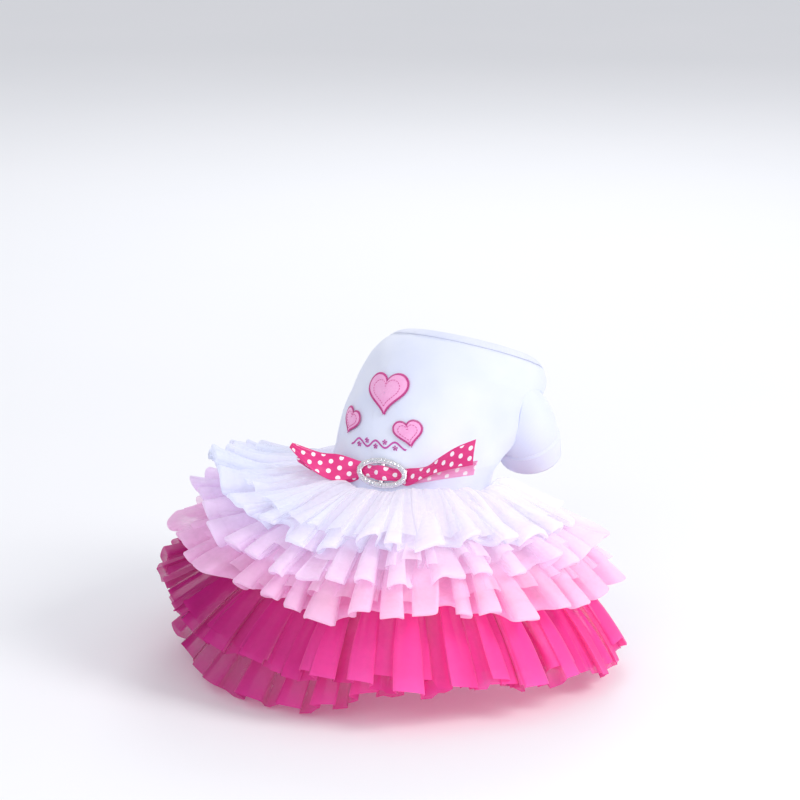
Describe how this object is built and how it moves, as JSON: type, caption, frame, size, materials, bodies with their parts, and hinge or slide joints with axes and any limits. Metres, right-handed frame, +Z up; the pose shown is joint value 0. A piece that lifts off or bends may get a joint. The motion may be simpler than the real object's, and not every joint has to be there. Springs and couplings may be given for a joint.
{
  "type": "small dog's tutu dress",
  "caption": "Small dog's dress kept in its worn shape: a white jersey bodice with short sleeves, tiered white to pink tulle round the back and sides, a spotted bow and a stone-set oval buckle.",
  "frame": {"origin": "middle of the body that fills the dress, at the waist where the skirt starts", "axes": "+Z up, +Y from the back of the waist towards the chest and neck, +X towards the wearer's right side"},
  "size_m": [0.3315, 0.2893, 0.2151],
  "materials": {
    "jersey": "fine white cotton jersey, matt",
    "rib": "white rib knit, matt",
    "tulle_white": "white tulle net, soft sheen",
    "tulle_blush": "pale pink tulle net, soft sheen",
    "tulle_pink": "hot pink tulle net, soft sheen",
    "ribbon": "pink satin ribbon with small white dots",
    "felt": "pink felt",
    "rhinestone": "silver-plated setting with clear cut stones"
  },
  "bodies": {
    "root": {"bodice": "jersey", "neck_band": "rib", "sleeve_right": "jersey", "sleeve_left": "jersey", "ruffle_white_top": "tulle_white", "ruffle_white_middle": "tulle_white", "ruffle_blush_lower": "tulle_blush", "skirt_pink_outer": "tulle_pink", "skirt_pink_under": "tulle_pink", "bow_ribbon": "ribbon", "bow_tail_left": "ribbon", "bow_tail_right": "ribbon", "buckle": "rhinestone", "heart_large": "felt", "heart_small_left": "felt", "heart_small_right": "felt"}
  },
  "joints": []
}
